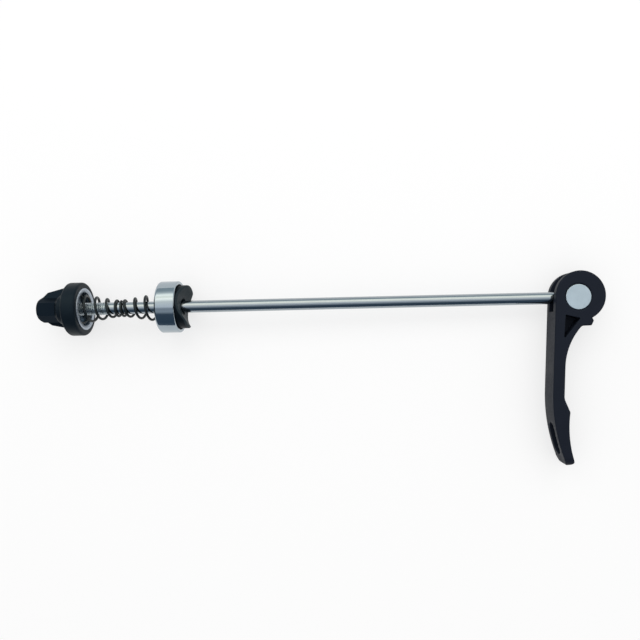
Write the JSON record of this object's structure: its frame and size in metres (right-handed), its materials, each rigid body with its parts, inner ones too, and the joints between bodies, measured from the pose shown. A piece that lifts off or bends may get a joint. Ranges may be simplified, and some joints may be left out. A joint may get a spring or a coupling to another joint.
{
  "type": "quick release skewer",
  "caption": "Quick release skewer for a bicycle wheel: a long rod with a cam lever at one end, a sliding end cup, conical springs and a screw-on nut that clamp the hub in the frame.",
  "frame": {"origin": "on the rod's axis, halfway along the bare shank", "axes": "+X along the rod towards the lever, -Y along the open lever's arm, +Z along the lever's pivot, up as it lies"},
  "size_m": [0.2237, 0.0768, 0.0212],
  "materials": {
    "rod_steel": "polished",
    "barrel_steel": "satin",
    "lever_black": "black gloss coat",
    "cup_chrome": "polished",
    "saddle_plastic": "moulded",
    "spring_black": "black coat",
    "nut_black": "black satin coat",
    "insert_steel": "zinc plated"
  },
  "bodies": {
    "rod": {"skewer_rod": "rod_steel", "pivot_barrel": "barrel_steel"},
    "lever": {"lever": "lever_black"},
    "cup_carriage": {"lever_side_spring": "spring_black"},
    "cup": {"end_cup": "cup_chrome", "cam_saddle": "saddle_plastic"},
    "nut_carriage": {"nut_side_spring": "spring_black"},
    "nut": {"nut_body": "nut_black", "nut_insert": "insert_steel"}
  },
  "joints": [
    {"name": "lever_pivot", "type": "hinge", "parent": "rod", "child": "lever", "pos_m": [0.079, 0, 0], "axis": [0, 0, 1], "range_deg": [0, 180]},
    {"name": "cup_slide", "type": "slide", "parent": "rod", "child": "cup_carriage", "axis": [1, 0, 0], "range_m": [0, 0.1414]},
    {"name": "cup_spin", "type": "hinge", "parent": "cup_carriage", "child": "cup", "pos_m": [-0.082, 0, 0], "axis": [1, 0, 0], "continuous": true},
    {"name": "nut_travel", "type": "slide", "parent": "rod", "child": "nut_carriage", "axis": [1, 0, 0], "range_m": [0, 0.00961], "deforming": ["nut_side_spring", "lever_side_spring"]},
    {"name": "nut_spin", "type": "hinge", "parent": "nut_carriage", "child": "nut", "pos_m": [-0.1248, 0, 0], "axis": [1, 0, 0], "range_deg": [0, 4320]}
  ],
  "couplings": [
    {"joint": "nut_travel", "follows": "nut_spin", "m_per_rad": 0.00012732}
  ]
}
